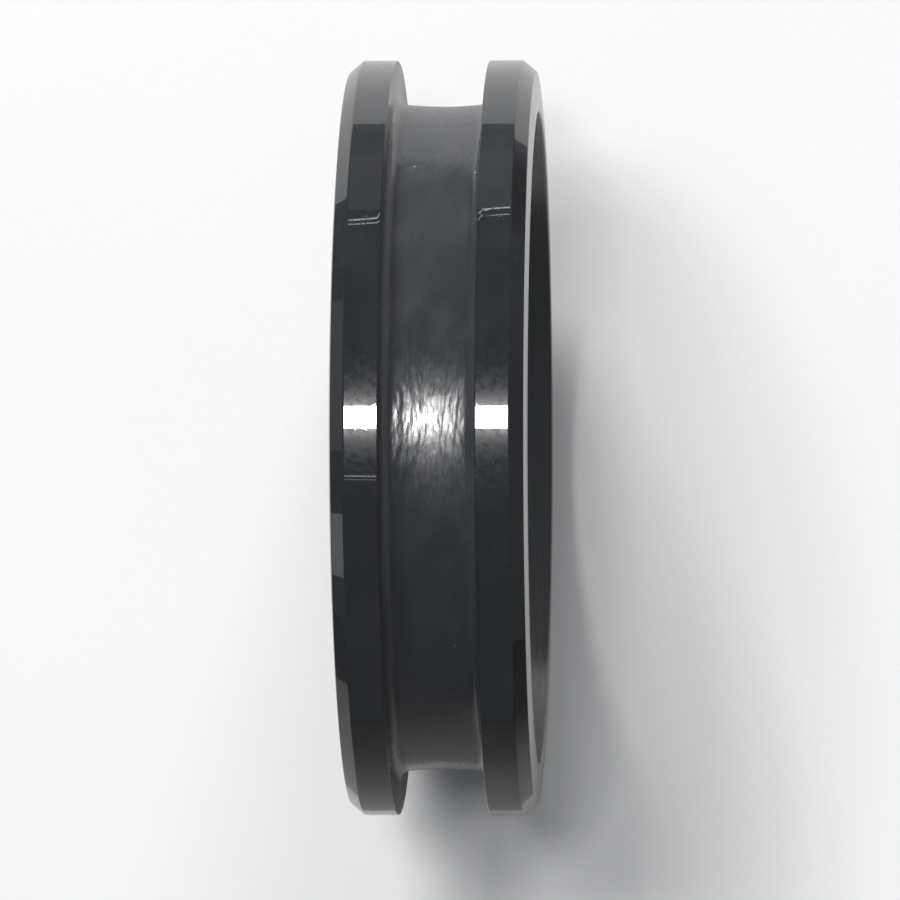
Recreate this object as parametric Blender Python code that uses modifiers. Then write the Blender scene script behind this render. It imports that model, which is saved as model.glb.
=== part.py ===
"""Channel ring blank: a one-piece ring whose outer face holds an open channel between two flanges.

Units are metres. The ring's axis is +X and +Z is up: the ring stands on its rim.
The origin is the ring's centre, on its axis and halfway across its width.

The whole ring is one turned section. Its profile is drawn beside the Z axis, a Screw modifier
turns it all the way round, and the object is then tipped so that its axis lies along X.
"""

import math

import bpy
from mathutils import Matrix

# Driving dimensions. Radii are measured from the ring's axis.
OUTER_RADIUS = 0.0119  # polished lands, the widest part of the ring
RING_WIDTH = 0.0060
CHANNEL_WIDTH = 0.0029
CHANNEL_DEPTH = 0.0014  # at the foot of the channel's walls
FLOOR_DISH = 0.00005  # how much deeper the channel is in its middle
FILLET_RADIUS = 0.00038  # rounded corners along the channel's floor
BEVEL_WIDTH = 0.00042  # outer bevels, along the axis
BEVEL_DROP = 0.00035  # outer bevels, towards the axis
SIDE_TAPER = 0.00008  # how far each side face leans in at its outer edge
SIDE_FLAT_RADIUS = 0.01075  # each side face is flat from the bore out to here
BORE_RADIUS = 0.0099  # narrowest part of the domed bore, halfway across
BORE_MOUTH_RADIUS = 0.0103  # bore at the two side faces

# How finely the round stretches are divided.
TURN_STEPS = 96
FILLET_STEPS = 4
FLOOR_STEPS = 3
BORE_STEPS = 8
MERGE_DISTANCE = 0.00001
SMOOTH_ANGLE = math.radians(25)

COLLECTION_NAME = "channel_ring_blank"
NODE_NAME = "ring_blank"


def clear_scene():
    """Removes whatever objects the file starts with."""
    for item in list(bpy.data.objects):
        bpy.data.objects.remove(item, do_unlink=True)


def arc(centre, radius, start, end, steps):
    """Points of an arc about centre, from angle start to angle end, both ends included."""
    points = []
    for step in range(steps + 1):
        angle = start + (end - start) * step / steps
        points.append((centre[0] + radius * math.cos(angle), centre[1] + radius * math.sin(angle)))
    return points


def outer_half():
    """Upper half of the outer side, as (radius, height): side face, bevel, land, channel wall, floor."""
    half_width = RING_WIDTH / 2
    bevel_foot = half_width - SIDE_TAPER
    wall_height = CHANNEL_WIDTH / 2
    flat_height = wall_height - FILLET_RADIUS
    floor_radius = OUTER_RADIUS - CHANNEL_DEPTH
    flange = [
        (SIDE_FLAT_RADIUS, half_width),
        (OUTER_RADIUS - BEVEL_DROP, bevel_foot),
        (OUTER_RADIUS, bevel_foot - BEVEL_WIDTH),
        (OUTER_RADIUS, wall_height),
    ]
    fillet_centre = (floor_radius + FILLET_RADIUS, flat_height)
    fillet = arc(fillet_centre, FILLET_RADIUS, math.pi / 2, math.pi, FILLET_STEPS)
    floor = []
    for step in range(1, FLOOR_STEPS + 1):
        share = 1 - step / FLOOR_STEPS
        floor.append((floor_radius - FLOOR_DISH * (1 - share**2), flat_height * share))
    return flange + fillet + floor


def bore_dome():
    """The bore's domed line, from its lower mouth to its upper one, mouths included."""
    half_width = RING_WIDTH / 2
    rise = BORE_MOUTH_RADIUS - BORE_RADIUS
    dome_radius = (half_width**2 + rise**2) / (2 * rise)
    reach = math.asin(half_width / dome_radius)
    centre = (BORE_RADIUS + dome_radius, 0.0)
    return arc(centre, dome_radius, math.pi + reach, math.pi - reach, BORE_STEPS)


def ring_profile():
    """The closed section, down the outer side and back up through the bore."""
    upper = outer_half()
    lower = [(radius, -height) for radius, height in reversed(upper[:-1])]
    return upper + lower + bore_dome()


def profile_mesh(name, profile):
    """A closed loop of edges in the XZ plane, its first coordinate along +X."""
    mesh = bpy.data.meshes.new(name)
    count = len(profile)
    corners = [(radius, 0.0, height) for radius, height in profile]
    edges = [(index, (index + 1) % count) for index in range(count)]
    mesh.from_pydata(corners, edges, [])
    return mesh


def turn(ring):
    """Turns the object's profile once round its Z axis."""
    screw = ring.modifiers.new("Turn", "SCREW")
    screw.axis = "Z"
    screw.angle = math.tau
    screw.steps = TURN_STEPS
    screw.render_steps = TURN_STEPS
    screw.use_merge_vertices = True
    screw.merge_threshold = MERGE_DISTANCE
    screw.use_smooth_shade = True


def black_ceramic():
    """Polished black ceramic."""
    material = bpy.data.materials.new("black_ceramic")
    material.use_nodes = True
    shader = material.node_tree.nodes["Principled BSDF"]
    shader.inputs["Base Color"].default_value = (0.018, 0.019, 0.022, 1.0)
    shader.inputs["Roughness"].default_value = 0.12
    shader.inputs["Metallic"].default_value = 0.0
    return material


def build_ring(collection):
    """The whole ring: one solid, standing with a flat facet of its rim underneath."""
    mesh = profile_mesh(NODE_NAME, ring_profile())
    mesh.materials.append(black_ceramic())
    ring = bpy.data.objects.new(NODE_NAME, mesh)
    collection.objects.link(ring)
    turn(ring)
    half_step = math.pi / TURN_STEPS
    tip_over = Matrix.Rotation(math.pi / 2, 4, "Y")
    facet_down = Matrix.Rotation(half_step, 4, "Z")
    ring.matrix_world = tip_over @ facet_down
    return ring


def shade(ring):
    """Makes the turned surface a plain mesh, smooth except along its sharp rims."""
    bpy.context.view_layer.update()
    evaluated = ring.evaluated_get(bpy.context.evaluated_depsgraph_get())
    solid = bpy.data.meshes.new_from_object(evaluated)
    solid.shade_smooth()
    solid.set_sharp_from_angle(angle=SMOOTH_ANGLE)
    ring.modifiers.clear()
    ring.data = solid


def main():
    clear_scene()
    collection = bpy.data.collections.new(COLLECTION_NAME)
    bpy.context.scene.collection.children.link(collection)
    ring = build_ring(collection)
    shade(ring)


main()
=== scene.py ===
"""Looks of the channel ring blank: one turned ring with polished flanges and a ground channel.

Everything is in metres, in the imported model's frame: +X is the ring's axis, +Z is up, and the
origin is the ring's centre. The camera looks down on the rim from above, as the ring stands on
a sheet of pale paper.
"""

import math

import bpy
from mathutils import Matrix, Vector, noise


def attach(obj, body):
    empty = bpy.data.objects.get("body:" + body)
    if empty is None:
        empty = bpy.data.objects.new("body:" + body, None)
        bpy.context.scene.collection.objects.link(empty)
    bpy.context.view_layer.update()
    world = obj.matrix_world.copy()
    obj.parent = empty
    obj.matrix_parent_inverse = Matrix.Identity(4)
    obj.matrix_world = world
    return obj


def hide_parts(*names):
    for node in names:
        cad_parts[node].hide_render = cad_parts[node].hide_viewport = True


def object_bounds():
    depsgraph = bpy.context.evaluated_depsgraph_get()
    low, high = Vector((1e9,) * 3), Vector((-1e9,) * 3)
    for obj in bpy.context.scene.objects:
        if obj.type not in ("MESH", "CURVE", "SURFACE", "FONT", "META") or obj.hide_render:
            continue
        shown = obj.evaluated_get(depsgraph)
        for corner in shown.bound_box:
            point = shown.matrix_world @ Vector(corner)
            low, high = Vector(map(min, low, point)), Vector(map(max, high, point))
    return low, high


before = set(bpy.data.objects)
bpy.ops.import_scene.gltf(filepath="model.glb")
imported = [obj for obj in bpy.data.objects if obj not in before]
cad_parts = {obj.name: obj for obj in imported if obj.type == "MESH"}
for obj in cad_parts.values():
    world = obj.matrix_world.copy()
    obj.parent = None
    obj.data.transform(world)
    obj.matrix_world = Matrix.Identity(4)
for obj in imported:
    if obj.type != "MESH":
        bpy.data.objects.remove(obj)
cad_low, cad_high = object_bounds()

MM = 0.001

# The ring's section. Its width and outer radius come from the frame.
CHANNEL_WIDTH = 2.9 * MM
CHANNEL_DEPTH = 1.4 * MM
FLOOR_DISH = 0.05 * MM  # how much deeper the channel is in its middle than at its fillets
FILLET_RADIUS = 0.38 * MM
BEVEL_WIDTH = 0.42 * MM
BEVEL_DROP = 0.35 * MM
SIDE_TAPER = 0.08 * MM  # how far each side face leans in at its outer edge
SIDE_FLAT_RADIUS = 10.75 * MM
BORE_RADIUS = 9.9 * MM
BORE_MOUTH_RADIUS = 10.3 * MM

# Rounding of the edges.
POLISHED_EDGE = 0.08 * MM
CHANNEL_EDGE = 0.03 * MM
TAPER_EDGE = 0.3 * MM
MOUTH_EDGE = 0.10 * MM
SUPPORT = 0.015 * MM  # a loop this far from each rounded edge keeps the flats flat

# How finely the round stretches are divided.
TURN_STEPS = 640
FILLET_STEPS = 7
FLOOR_STEPS = 9
BORE_STEPS = 24
MERGE_DISTANCE = 0.001 * MM

# Marks that grinding the channel left in its edges and its floor.
EDGE_WAVE = 0.005 * MM  # how deep the waves cut
EDGE_REACH = 0.02 * MM  # how far in from the edge they fade out
LONG_WAVE = 0.35 * MM
SHORT_WAVE = 0.13 * MM
SHORT_WAVE_SHARE = 0.6
CHIP_DEPTH = 0.050 * MM
CHIP_REACH = 0.05 * MM
CHIP_SPACING = 0.28 * MM
CHIP_LIMIT = 0.42  # the nearer to one, the fewer chips
BITE_SHARE = 0.7  # share of a wave's or a chip's depth that goes each way, aside and inwards
RIM_APART = 7 * MM  # keeps the two edges' chips unlike each other
FLOOR_WAVE = 0.004 * MM
FLOOR_WAVE_ACROSS = 0.22 * MM
FLOOR_WAVE_ROUND = 1.6 * MM
FLOOR_WAVE_RISE = 0.25 * MM  # how far up the walls the floor's waves fade out
# painted light: where the channel's corners start and finish turning paler
PAINTED_CORNER_LIGHT_START = 1.14 * MM  # measured across the ring from its middle
PAINTED_CORNER_LIGHT_FULL = 1.42 * MM

# Material slots of the ring's mesh.
POLISHED = 0
GROUND = 1
WALL = 2
BORE = 3

# The camera.
CAMERA_PLACE = (12.49 * MM, 0.0, 250.25 * MM)
CAMERA_TARGET = (0.144 * MM, -0.383 * MM, 0.0)
CAMERA_ROLL = math.radians(-0.08)
CAMERA_LENS = 317.57  # in millimetres, on a sensor 36 mm wide
CAMERA_SENSOR = 36.0


# ---------------------------------------------------------------- section of the ring


def arc(centre, radius, start, end, steps):
    """Points of an arc about centre, from angle start to angle end, both ends included."""
    points = []
    for step in range(steps + 1):
        angle = start + (end - start) * step / steps
        x = centre[0] + radius * math.cos(angle)
        y = centre[1] + radius * math.sin(angle)
        points.append(Vector((x, y)))
    return points


def along(start, end, steps):
    """Evenly spaced points between start and end, both left out."""
    return [Vector(start).lerp(Vector(end), step / steps) for step in range(1, steps)]


def rounded(before, corner, after, radius, steps=4):
    """A corner cut back to an arc, with a support point on the flat at each side of it."""
    corner = Vector(corner)
    to_before = (Vector(before) - corner).normalized()
    to_after = (Vector(after) - corner).normalized()
    half = to_before.angle(to_after) / 2
    reach = radius / math.tan(half)
    centre = corner + (to_before + to_after).normalized() * radius / math.sin(half)
    first = corner + to_before * reach - centre
    last = corner + to_after * reach - centre
    sweep = first.angle_signed(last)
    points = [corner + to_before * (reach + SUPPORT)]
    for step in range(steps + 1):
        points.append(centre + Matrix.Rotation(-sweep * step / steps, 2) @ first)
    points.append(corner + to_after * (reach + SUPPORT))
    return points


def upper_outline(outer_radius, half_width):
    """Upper half of the outer side, as (radius, height), from the side face down to mid-floor."""
    wall = CHANNEL_WIDTH / 2
    floor = outer_radius - CHANNEL_DEPTH
    side_inner = (BORE_MOUTH_RADIUS, half_width)
    side_flat = (SIDE_FLAT_RADIUS, half_width)
    bevel_low = (outer_radius - BEVEL_DROP, half_width - SIDE_TAPER)
    bevel_high = (outer_radius, half_width - SIDE_TAPER - BEVEL_WIDTH)
    land_end = (outer_radius, wall)
    fillet_top = (floor + FILLET_RADIUS, wall)
    fillet_centre = (floor + FILLET_RADIUS, wall - FILLET_RADIUS)
    points = rounded(side_inner, side_flat, bevel_low, TAPER_EDGE, 2)
    points += along(points[-1], bevel_low, 4)[:-1]
    points += rounded(side_flat, bevel_low, bevel_high, POLISHED_EDGE)
    points += along(points[-1], bevel_high, 4)[:-1]
    points += rounded(bevel_low, bevel_high, land_end, POLISHED_EDGE)
    points += along(points[-1], land_end, 8)
    points += rounded(bevel_high, land_end, fillet_top, CHANNEL_EDGE, 4)
    points += along(points[-1], fillet_top, 6)
    points += arc(fillet_centre, FILLET_RADIUS, math.pi / 2, math.pi, FILLET_STEPS)
    flat_half = wall - FILLET_RADIUS
    for step in range(1, FLOOR_STEPS + 1):
        height = flat_half * (1 - step / FLOOR_STEPS)
        dish = FLOOR_DISH * (1 - (height / flat_half) ** 2)
        points.append(Vector((floor - dish, height)))
    return points


def bore_line(half_width):
    """The domed bore from its lower mouth to its upper one, with a rounded edge at each mouth."""
    rise = BORE_MOUTH_RADIUS - BORE_RADIUS
    dome_radius = (half_width**2 + rise**2) / (2 * rise)
    reach = math.asin(half_width / dome_radius)
    centre = (BORE_RADIUS + dome_radius, 0.0)
    dome = arc(centre, dome_radius, math.pi + reach, math.pi - reach, BORE_STEPS)
    outward = (BORE_MOUTH_RADIUS + 5 * MOUTH_EDGE, half_width)
    upper = rounded(dome[-2], dome[-1], outward, MOUTH_EDGE, 4)
    lower = [Vector((point.x, -point.y)) for point in reversed(upper)]
    return lower + dome[2:-2] + upper


def ring_section(outer_radius, half_width):
    """The closed section, down the outer side and back up through the bore."""
    upper = upper_outline(outer_radius, half_width)
    lower = [Vector((point.x, -point.y)) for point in reversed(upper[:-1])]
    return upper + lower + bore_line(half_width)


# ---------------------------------------------------------------- the ring's mesh


def turned_mesh(name, section):
    """The section turned once round the Z axis, as a plain mesh."""
    outline = bpy.data.meshes.new(name + "_outline")
    corners = [(point.x, 0.0, point.y) for point in section]
    edges = [(index, (index + 1) % len(section)) for index in range(len(section))]
    outline.from_pydata(corners, edges, [])
    guide = bpy.data.objects.new(name + "_guide", outline)
    bpy.context.scene.collection.objects.link(guide)
    screw = guide.modifiers.new("Turn", "SCREW")
    screw.axis = "Z"
    screw.steps = TURN_STEPS
    screw.render_steps = TURN_STEPS
    screw.use_merge_vertices = True
    screw.merge_threshold = MERGE_DISTANCE
    bpy.context.view_layer.update()
    evaluated = guide.evaluated_get(bpy.context.evaluated_depsgraph_get())
    mesh = bpy.data.meshes.new_from_object(evaluated)
    mesh.name = name
    bpy.data.objects.remove(guide, do_unlink=True)
    mesh.transform(Matrix.Rotation(math.pi / 2, 4, "Y"))
    return mesh


def speck(place, reach, limit):
    """How deep a chip bites at a place on the rim: zero nearly everywhere, at most one."""
    return max(0.0, noise.noise(place / reach) - limit) / (1 - limit)


def grind(mesh, outer_radius):
    """Wavy, slightly chipped edges along the channel, and a floor that isn't quite even."""
    wall = CHANNEL_WIDTH / 2
    floor = outer_radius - CHANNEL_DEPTH
    for vertex in mesh.vertices:
        x, y, z = vertex.co
        radius = math.hypot(y, z)
        side = math.copysign(1.0, x)
        if radius < floor - 2 * FLOOR_DISH or abs(x) > wall + 4 * CHIP_REACH:
            continue
        offset = math.hypot(abs(x) - wall, radius - outer_radius)
        near = math.exp(-((offset / EDGE_REACH) ** 2))
        near_chip = math.exp(-((offset / CHIP_REACH) ** 2))
        rim = Vector((side * RIM_APART, y, z))
        short = SHORT_WAVE_SHARE * noise.noise(rim / SHORT_WAVE)
        wave = EDGE_WAVE * (0.5 + noise.noise(rim / LONG_WAVE) + short)
        chip = CHIP_DEPTH * speck(rim, CHIP_SPACING, CHIP_LIMIT)
        bite = BITE_SHARE * (max(0.0, wave) * near + chip * near_chip)
        low = math.exp(-(((radius - floor) / FLOOR_WAVE_RISE) ** 2)) if abs(x) < wall else 0.0
        waves = Vector((x / FLOOR_WAVE_ACROSS, y / FLOOR_WAVE_ROUND, z / FLOOR_WAVE_ROUND))
        ripple = noise.noise(waves)
        sink = bite - FLOOR_WAVE * ripple * low
        shrink = (radius - sink) / radius
        vertex.co = (x + side * bite, y * shrink, z * shrink)


def finish_of(centre, outer_radius):
    """The material slot of a face, from its centre: channel floor, channel wall, bore or polish."""
    radius = math.hypot(centre.y, centre.z)
    foot = outer_radius - CHANNEL_DEPTH + FILLET_RADIUS
    if radius < BORE_MOUTH_RADIUS:
        return BORE
    beside = abs(centre.x) > CHANNEL_WIDTH / 2 + CHANNEL_EDGE * 0.2
    on_rim = radius > outer_radius - CHANNEL_EDGE * 0.8
    if beside or on_rim:
        return POLISHED
    return WALL if radius > foot else GROUND


def make_ring(low, high):
    """The ring as one piece, which stands for the CAD node."""
    half_width = high.x
    outer_radius = high.z
    mesh = turned_mesh("channel_ring", ring_section(outer_radius, half_width))
    ring = bpy.data.objects.new("channel_ring", mesh)
    bpy.context.scene.collection.objects.link(ring)
    for make_material in (polished_ceramic, ground_ceramic, wall_ceramic, bore_ceramic):
        mesh.materials.append(make_material())
    for face in mesh.polygons:
        face.material_index = finish_of(face.center, outer_radius)
    grind(mesh, outer_radius)
    mesh.shade_smooth()
    return ring


# ---------------------------------------------------------------- materials

CERAMIC_IOR = 2.15  # black zirconia


def new_material(name):
    """A material with its node tree and its shader."""
    material = bpy.data.materials.new(name)
    material.use_nodes = True
    tree = material.node_tree
    return material, tree, tree.nodes["Principled BSDF"]


def add(tree, kind, inputs, **settings):
    """A node with its settings, and with inputs that are plain values or sockets to link."""
    node = tree.nodes.new(kind)
    for name, value in settings.items():
        setattr(node, name, value)
    for name, value in inputs.items():
        if isinstance(value, bpy.types.NodeSocket):
            tree.links.new(value, node.inputs[name])
        else:
            node.inputs[name].default_value = value
    return node.outputs[0]


def stretched(tree, cycles, turn=0.0, shift=0.0):
    """Places on the piece, in cycles per millimetre along X, Y and Z, turned about Z."""
    place = tree.nodes.new("ShaderNodeTexCoord").outputs["Object"]
    turned = add(tree, "ShaderNodeMapping", {"Vector": place, "Rotation": (0.0, 0.0, turn)})
    scale = tuple(count / MM for count in cycles)
    settled = {"Vector": turned, "Scale": scale, "Location": (shift,) * 3}
    return add(tree, "ShaderNodeMapping", settled)


def grain(tree, cycles, turn=0.0, shift=0.0, detail=2.0, rough=0.5):
    """Smooth noise between nought and one."""
    place = stretched(tree, cycles, turn, shift)
    inputs = {"Vector": place, "Scale": 1.0, "Detail": detail, "Roughness": rough}
    return add(tree, "ShaderNodeTexNoise", inputs)


def ramp(tree, value, low, high, to_low, to_high):
    """The value's stretch from low to high, spread smoothly from to_low to to_high."""
    inputs = {"Value": value, "From Min": low, "From Max": high}
    inputs.update({"To Min": to_low, "To Max": to_high})
    return add(tree, "ShaderNodeMapRange", inputs, interpolation_type="SMOOTHSTEP")


def combine(tree, operation, first, second):
    """A sum on two values, each a plain number or a socket to link."""
    node = tree.nodes.new("ShaderNodeMath")
    node.operation = operation
    for socket, value in zip(node.inputs, (first, second)):
        if isinstance(value, bpy.types.NodeSocket):
            tree.links.new(value, socket)
        else:
            socket.default_value = value
    return node.outputs[0]


def hairlines(tree, cycles, turn, shift, width):
    """Thin meandering lines, as fine scratches run: one on a line, nought off it."""
    level = grain(tree, cycles, turn, shift, detail=1.0)
    offset = combine(tree, "ABSOLUTE", combine(tree, "SUBTRACT", level, 0.5), 0.0)
    return ramp(tree, offset, 0.0, width, 1.0, 0.0)


def dust(tree, count, size, share, shift):
    """Sparse specks: count cells per millimetre, with a speck in a share of them."""
    places = stretched(tree, (count, count, count), 0.3, shift)
    node = tree.nodes.new("ShaderNodeTexVoronoi")
    node.inputs["Scale"].default_value = 1.0
    tree.links.new(places, node.inputs["Vector"])
    near = ramp(tree, node.outputs["Distance"], size * 0.4, size, 1.0, 0.0)
    split = tree.nodes.new("ShaderNodeSeparateColor")
    tree.links.new(node.outputs["Color"], split.inputs[0])
    chosen = combine(tree, "LESS_THAN", split.outputs[0], share)
    return combine(tree, "MULTIPLY", near, chosen)


def tint(tree, value, low, high):
    """A colour between two, by a value between nought and one."""
    node = tree.nodes.new("ShaderNodeMix")
    node.data_type = "RGBA"
    node.inputs[6].default_value = (*low, 1.0)
    node.inputs[7].default_value = (*high, 1.0)
    tree.links.new(value, node.inputs[0])
    return node.outputs[2]


def bump(tree, height, distance, before=None):
    """A normal from a height between nought and one, on top of the one before."""
    inputs = {"Height": height, "Distance": distance, "Strength": 1.0}
    if before:
        inputs["Normal"] = before
    return add(tree, "ShaderNodeBump", inputs)


def speckled(tree, shade, specks):
    """The shade, with specks of pale dust on it."""
    node = tree.nodes.new("ShaderNodeMix")
    node.data_type = "RGBA"
    node.inputs[7].default_value = (0.28, 0.28, 0.27, 1.0)
    tree.links.new(specks, node.inputs[0])
    tree.links.new(shade, node.inputs[6])
    return node.outputs[2]


def polished_ceramic():
    """Mirror polish over a faint haze of smudges, with wiping marks, scratches and a few specks."""
    material, tree, shader = new_material("polished_black_ceramic")
    smudge = ramp(tree, grain(tree, (0.5, 0.35, 0.35), 0.4, 3.0), 0.42, 0.68, 0.0, 1.0)
    haze = grain(tree, (4.5, 5.5, 5.5), 0.6, 11.0, detail=4.0, rough=0.6)
    haze = ramp(tree, haze, 0.3, 0.7, 0.0, 1.0)
    along_rim = hairlines(tree, (2.6, 0.28, 0.28), 0.05, 5.0, 0.008)
    slanted = hairlines(tree, (0.9, 1.4, 1.4), -0.7, 33.0, 0.008)
    scratches = combine(tree, "MAXIMUM", along_rim, slanted)
    specks = dust(tree, 1.1, 0.055, 0.10, 2.0)
    finish = ramp(tree, haze, 0.0, 1.0, 0.27, 0.17)
    finish = combine(tree, "ADD", finish, combine(tree, "MULTIPLY", smudge, 0.05))
    finish = combine(tree, "SUBTRACT", finish, combine(tree, "MULTIPLY", scratches, 0.04))
    wiped = hairlines(tree, (1.5, 1.1, 1.1), 0.9, 51.0, 0.030)
    patchy = ramp(tree, grain(tree, (1.6, 1.6, 1.6), 0.0, 9.0, detail=3.0), 0.42, 0.58, 0.0, 1.0)
    wiped = combine(tree, "MULTIPLY", wiped, patchy)
    finish = combine(tree, "SUBTRACT", finish, combine(tree, "MULTIPLY", wiped, 0.05))
    tree.links.new(finish, shader.inputs["Roughness"])
    shade = tint(tree, smudge, (0.009, 0.0105, 0.0125), (0.014, 0.0160, 0.0185))
    tree.links.new(speckled(tree, shade, specks), shader.inputs["Base Color"])
    tree.links.new(bump(tree, specks, 0.002 * MM), shader.inputs["Normal"])
    gloss = bump(tree, grain(tree, (0.8, 0.5, 0.5), 0.2, 7.0, detail=0.0), 0.0006 * MM)
    tree.links.new(bump(tree, scratches, 0.00008 * MM, gloss), shader.inputs["Coat Normal"])
    shader.inputs["IOR"].default_value = 1.42
    shader.inputs["Coat Weight"].default_value = 1.0
    shader.inputs["Coat Roughness"].default_value = 0.012
    shader.inputs["Coat IOR"].default_value = 1.95
    return material


def ground_ceramic():
    """The channel as a grinding wheel left it: fine grooves round the ring, satin, with dust.

    Both corners along the walls are painted paler, the left one most, as painted light on fillets
    that the lamps leave in shade.
    """
    material, tree, shader = new_material("ground_black_ceramic")
    grooves = grain(tree, (5.6, 1.7, 1.7), 0.05, 1.0, detail=1.5, rough=0.5)
    fine = grain(tree, (11.0, 3.0, 3.0), 0.05, 4.0, detail=1.0, rough=0.5)
    worn = grain(tree, (0.9, 0.5, 0.5), 0.2, 13.0, detail=3.0)
    finish = ramp(tree, worn, 0.3, 0.7, 0.19, 0.26)
    finish = combine(tree, "ADD", finish, ramp(tree, fine, 0.3, 0.7, 0.03, -0.03))
    tree.links.new(finish, shader.inputs["Roughness"])
    across = tree.nodes.new("ShaderNodeSeparateXYZ")
    tree.links.new(tree.nodes.new("ShaderNodeTexCoord").outputs["Object"], across.inputs[0])
    # painted light: paler grey towards both walls, the left one most, standing in for fill light on
    # the shaded fillets
    right = ramp(tree, across.outputs["X"], PAINTED_CORNER_LIGHT_START, PAINTED_CORNER_LIGHT_FULL, 0.0, 0.25)
    left = ramp(tree, across.outputs["X"], -PAINTED_CORNER_LIGHT_FULL, -PAINTED_CORNER_LIGHT_START, 1.0, 0.0)
    patches = ramp(tree, worn, 0.35, 0.7, 0.0, 0.10)
    level = combine(tree, "ADD", patches, combine(tree, "MAXIMUM", left, right))
    shade = tint(tree, level, (0.0235, 0.0255, 0.0295), (0.135, 0.138, 0.144))
    specks = dust(tree, 1.6, 0.075, 0.10, 8.0)
    tree.links.new(speckled(tree, shade, specks), shader.inputs["Base Color"])
    deep = bump(tree, grooves, 0.015 * MM)
    tree.links.new(bump(tree, fine, 0.0013 * MM, deep), shader.inputs["Normal"])
    shader.inputs["IOR"].default_value = 2.0
    return material


def wall_ceramic():
    """The channel's steep walls: smoother than its floor, mottled where the wheel skipped, and a
    paler grey than the floor as painted light, so they read as bright as the polished lands.
    """
    material, tree, shader = new_material("wall_black_ceramic")
    mottle = grain(tree, (1.2, 0.5, 0.5), 0.0, 17.0, detail=3.0, rough=0.6)
    level = ramp(tree, mottle, 0.3, 0.7, 0.0, 1.0)
    tree.links.new(ramp(tree, level, 0.0, 1.0, 0.20, 0.25), shader.inputs["Roughness"])
    # painted light: a grey far paler than the channel floor's, standing in for the brightness the
    # walls show
    shade = tint(tree, level, (0.066, 0.0665, 0.068), (0.080, 0.0805, 0.082))
    tree.links.new(shade, shader.inputs["Base Color"])
    tree.links.new(bump(tree, mottle, 0.0008 * MM), shader.inputs["Normal"])
    shader.inputs["IOR"].default_value = CERAMIC_IOR
    return material


def bore_ceramic():
    """The bore: a satin polish with faint lines round it."""
    material, tree, shader = new_material("satin_black_ceramic")
    lines = grain(tree, (7.0, 0.3, 0.3), 0.0, 23.0, detail=1.0)
    tree.links.new(ramp(tree, lines, 0.3, 0.7, 0.20, 0.28), shader.inputs["Roughness"])
    shade = tint(tree, lines, (0.022, 0.0225, 0.0235), (0.032, 0.0325, 0.0335))
    tree.links.new(shade, shader.inputs["Base Color"])
    tree.links.new(bump(tree, lines, 0.0012 * MM), shader.inputs["Normal"])
    shader.inputs["IOR"].default_value = CERAMIC_IOR
    return material


def paper(name, dark, light):
    """Plain paper with a faint fibre, between two close shades of grey."""
    material, tree, shader = new_material(name)
    fibre = grain(tree, (3.0, 3.0, 3.0), 0.4, 0.0, detail=4.0, rough=0.6)
    cloud = grain(tree, (0.06, 0.06, 0.06), 0.1, 5.0, detail=2.0)
    level = combine(tree, "ADD", combine(tree, "MULTIPLY", fibre, 0.4), cloud)
    level = ramp(tree, level, 0.4, 1.0, 0.0, 1.0)
    tree.links.new(tint(tree, level, (dark,) * 3, (light,) * 3), shader.inputs["Base Color"])
    tree.links.new(bump(tree, fibre, 0.006 * MM), shader.inputs["Normal"])
    shader.inputs["Roughness"].default_value = 0.9
    return material


# ---------------------------------------------------------------- floor, lights, camera

TABLE_REACH = 0.35
# What the polished faces mirror in place of the floor, as spans along X and Y: copies of the white
# paper darkened as painted shade, a half-shaded one, a darker one in front of it on the left, and a
# dim desk in painted shade round both.
HALF_SHADE_CARD = ((-52 * MM, 25 * MM), (-17 * MM, 60 * MM))
DARK_SHADE_CARD = ((-47 * MM, -7 * MM), (-54 * MM, -17 * MM))
DESK = ((-150 * MM, 150 * MM), (-250 * MM, 250 * MM))
DESK_NEAR = 22 * MM  # painted shade darkens the desk from here out to DESK_FAR
DESK_FAR = 60 * MM
DESK_ASIDE = 10 * MM  # and along X from here out to DESK_FAR_ASIDE
DESK_FAR_ASIDE = 40 * MM
CARD_GAP = 0.01 * MM


def desk_in_painted_shade():
    """Painted shade: grey round the ring, and darker from a few centimetres out, most of all to
    either side.
    """
    material, tree, shader = new_material("desk_in_painted_shade")
    place = tree.nodes.new("ShaderNodeTexCoord").outputs["Object"]
    reach = tree.nodes.new("ShaderNodeVectorMath")
    reach.operation = "LENGTH"
    tree.links.new(place, reach.inputs[0])
    split = tree.nodes.new("ShaderNodeSeparateXYZ")
    tree.links.new(place, split.inputs[0])
    aside = combine(tree, "ABSOLUTE", split.outputs["X"], 0.0)
    # painted shade: darker with distance from the ring and towards either side
    level = ramp(tree, reach.outputs["Value"], DESK_NEAR, DESK_FAR, 0.27, 0.13)
    aside = ramp(tree, aside, DESK_ASIDE, DESK_FAR_ASIDE, 1.0, 0.42)
    level = combine(tree, "MULTIPLY", level, aside)
    tree.links.new(tint(tree, level, (0.0,) * 3, (1.0,) * 3), shader.inputs["Base Color"])
    shader.inputs["Roughness"].default_value = 0.9
    return material


def sheet(name, spans, height, material):
    """A flat rectangle on the floor, which is staging and not part of the ring."""
    (x0, x1), (y0, y1) = spans
    mesh = bpy.data.meshes.new(name)
    corners = [(x0, y0, height), (x1, y0, height), (x1, y1, height), (x0, y1, height)]
    mesh.from_pydata(corners, [], [(0, 1, 2, 3)])
    mesh.materials.append(material)
    piece = bpy.data.objects.new(name, mesh)
    bpy.context.scene.collection.objects.link(piece)
    return piece


def mirrored_card(name, spans, height, material):
    """A sheet that only reflections show."""
    card = sheet(name, spans, height, material)
    card.visible_camera = False
    card.visible_diffuse = False
    card.visible_shadow = False


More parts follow.
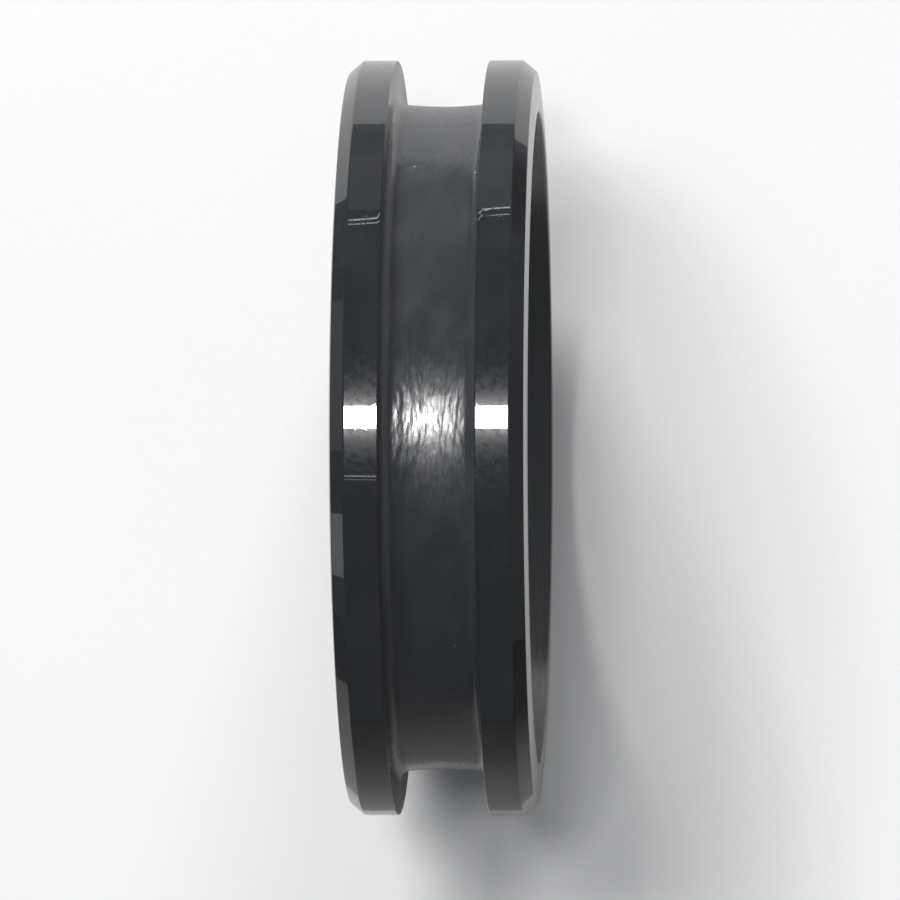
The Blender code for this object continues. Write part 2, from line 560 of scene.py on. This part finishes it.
def make_floor(height):
    """A plain white floor. Polished faces mirror a few cards just above it in its place, painted
    darker than the floor as painted shade.
    """
    white = paper("white_paper", 0.85, 0.875)
    reach = (-TABLE_REACH, TABLE_REACH)
    floor = sheet("floor", (reach, reach), height, white)
    floor.visible_glossy = False
    mirrored_card("desk", DESK, height + CARD_GAP, desk_in_painted_shade())
    # painted shade: darker copies of the white paper, which only reflections show
    mirrored_card("dark_shade_card", DARK_SHADE_CARD, height + 2 * CARD_GAP, paper("paper_in_dark_painted_shade", 0.29, 0.31))
    mirrored_card("half_shade_card", HALF_SHADE_CARD, height + 3 * CARD_GAP, paper("paper_in_half_painted_shade", 0.55, 0.57))


def area_light(name, slopes, height, energy, mirrored=True):
    """A rectangular lamp overhead, which faces down.

    Its slopes are its spans towards -X and +Y, per unit of height.
    """
    (s0, s1), (t0, t1) = slopes
    data = bpy.data.lights.new(name, "AREA")
    data.shape = "RECTANGLE"
    data.size = (s1 - s0) * height
    data.size_y = (t1 - t0) * height
    data.energy = energy
    lamp = bpy.data.objects.new(name, data)
    lamp.location = (-(s0 + s1) / 2 * height, (t0 + t1) / 2 * height, height)
    lamp.visible_glossy = mirrored
    lamp.visible_camera = False
    bpy.context.scene.collection.objects.link(lamp)


def facing_light(name, azimuth, elevation, distance, size, energy, mirrored=True):
    """A rectangular lamp that faces the ring. Azimuth runs from +X towards +Y."""
    data = bpy.data.lights.new(name, "AREA")
    data.shape = "RECTANGLE"
    data.size, data.size_y = size
    data.energy = energy
    lamp = bpy.data.objects.new(name, data)
    a = math.radians(azimuth)
    e = math.radians(elevation)
    away = Vector((math.cos(a) * math.cos(e), math.sin(a) * math.cos(e), math.sin(e)))
    lamp.location = away * distance
    lamp.rotation_euler = away.to_track_quat("Z", "Y").to_euler()
    lamp.visible_glossy = mirrored
    lamp.visible_camera = False
    bpy.context.scene.collection.objects.link(lamp)


def strip_light(name, start, end, width, radiance):
    """A thin bright bar that only polished faces mirror. Its flat side faces the ring."""
    start = Vector(start)
    end = Vector(end)
    data = bpy.data.lights.new(name, "AREA")
    data.shape = "RECTANGLE"
    data.size = (end - start).length
    data.size_y = width
    data.energy = radiance * math.pi * data.size * width
    lamp = bpy.data.objects.new(name, data)
    middle = (start + end) / 2
    long_way = (end - start).normalized()
    away = (middle - long_way * middle.dot(long_way)).normalized()
    short_way = away.cross(long_way)
    turn = Matrix((long_way, short_way, away)).transposed().to_4x4()
    lamp.matrix_world = Matrix.Translation(middle) @ turn
    lamp.visible_camera = False
    lamp.visible_diffuse = False
    bpy.context.scene.collection.objects.link(lamp)


LAMP_HEIGHT = 0.5
ROOM_REACH = 0.6  # how far the windows and the walls stand from the ring
# The thin bars: name, the two ends, width and radiance.
STRIPS = (
    ("blind_edge", (-0.0339, 0.4722, 0.1898), (-0.0180, 0.4870, 0.1489), 0.0016, 3.0),
    ("blind_edge_low", (-0.0339, 0.4672, 0.2018), (-0.0180, 0.4800, 0.1708), 0.0016, 2.2),
    ("shelf_edge", (-0.0195, -0.0490, 0.2520), (-0.0130, -0.0500, 0.2520), 0.0016, 1.8),
    ("shelf_edge_low", (-0.0185, -0.0540, 0.2520), (-0.0140, -0.0545, 0.2520), 0.0008, 1.2),
)


def make_lights():
    """Lamps overhead, windows behind, faint walls round about and the thin bars."""
    area_light("key_lamp", ((0.0, 0.12), (0.050, 0.165)), LAMP_HEIGHT, 0.53)
    area_light("soft_lamp", ((0.12, 0.30), (0.20, 0.35)), LAMP_HEIGHT, 0.41, mirrored=False)
    area_light("soft_lamp_left", ((0.3, 0.5), (0.20, 0.35)), LAMP_HEIGHT, 0.35, mirrored=False)
    area_light("soft_lamp_far", ((0.3, 0.5), (0.35, 0.55)), LAMP_HEIGHT, 0.46, mirrored=False)
    facing_light("window_high", 104, 30, ROOM_REACH, (0.15, 0.15), 1.52, mirrored=False)
    facing_light("window_low", 104, 18, ROOM_REACH, (0.15, 0.15), 1.21, mirrored=False)
    facing_light("window_right", 80, 30, ROOM_REACH, (0.15, 0.15), 1.20, mirrored=False)
    facing_light("pale_wall_front", 198, 2.5, ROOM_REACH, (0.105, 0.073), 0.0110)
    facing_light("pale_wall_left", 168, 9.3, ROOM_REACH, (0.30, 0.216), 0.0290)
    facing_light("pale_wall_back", 93, 6.8, ROOM_REACH, (0.25, 0.229), 0.0250)
    for name, start, end, width, radiance in STRIPS:
        strip_light(name, start, end, width, radiance)


def make_world():
    """A pale surround that polished faces mirror as a dim room."""
    world = bpy.data.worlds.new("room")
    world.use_nodes = True
    bpy.context.scene.world = world
    nodes = world.node_tree.nodes
    links = world.node_tree.links
    backdrop = nodes["Background"]
    backdrop.inputs["Color"].default_value = (0.9, 0.9, 0.9, 1.0)
    room = nodes.new("ShaderNodeBackground")
    room.name = "dim_room"
    room.inputs["Color"].default_value = (0.1085, 0.1140, 0.1225, 1.0)
    mix = nodes.new("ShaderNodeMixShader")
    path = nodes.new("ShaderNodeLightPath")
    links.new(path.outputs["Is Camera Ray"], mix.inputs[0])
    links.new(room.outputs[0], mix.inputs[1])
    links.new(backdrop.outputs[0], mix.inputs[2])
    links.new(mix.outputs[0], nodes["World Output"].inputs["Surface"])


def make_camera():
    """The camera overhead, a little to the right, with -Y at the foot of the view."""
    data = bpy.data.cameras.new("camera")
    data.lens = CAMERA_LENS
    data.sensor_width = CAMERA_SENSOR
    data.clip_start = 0.01
    data.clip_end = 10.0
    camera = bpy.data.objects.new("camera", data)
    place = Vector(CAMERA_PLACE)
    back = (place - Vector(CAMERA_TARGET)).normalized()
    right = Vector((0, 1, 0)).cross(back).normalized()
    up = back.cross(right)
    turn = Matrix((right, up, back)).transposed().to_4x4() @ Matrix.Rotation(CAMERA_ROLL, 4, "Z")
    camera.matrix_world = Matrix.Translation(place) @ turn
    bpy.context.scene.collection.objects.link(camera)
    bpy.context.scene.camera = camera


# ---------------------------------------------------------------- the scene

make_camera()
make_world()
make_lights()
make_floor(cad_low.z)
ring = make_ring(cad_low, cad_high)
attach(ring, "root")
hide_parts("ring_blank")

bpy.context.scene.view_settings.view_transform = "Standard"
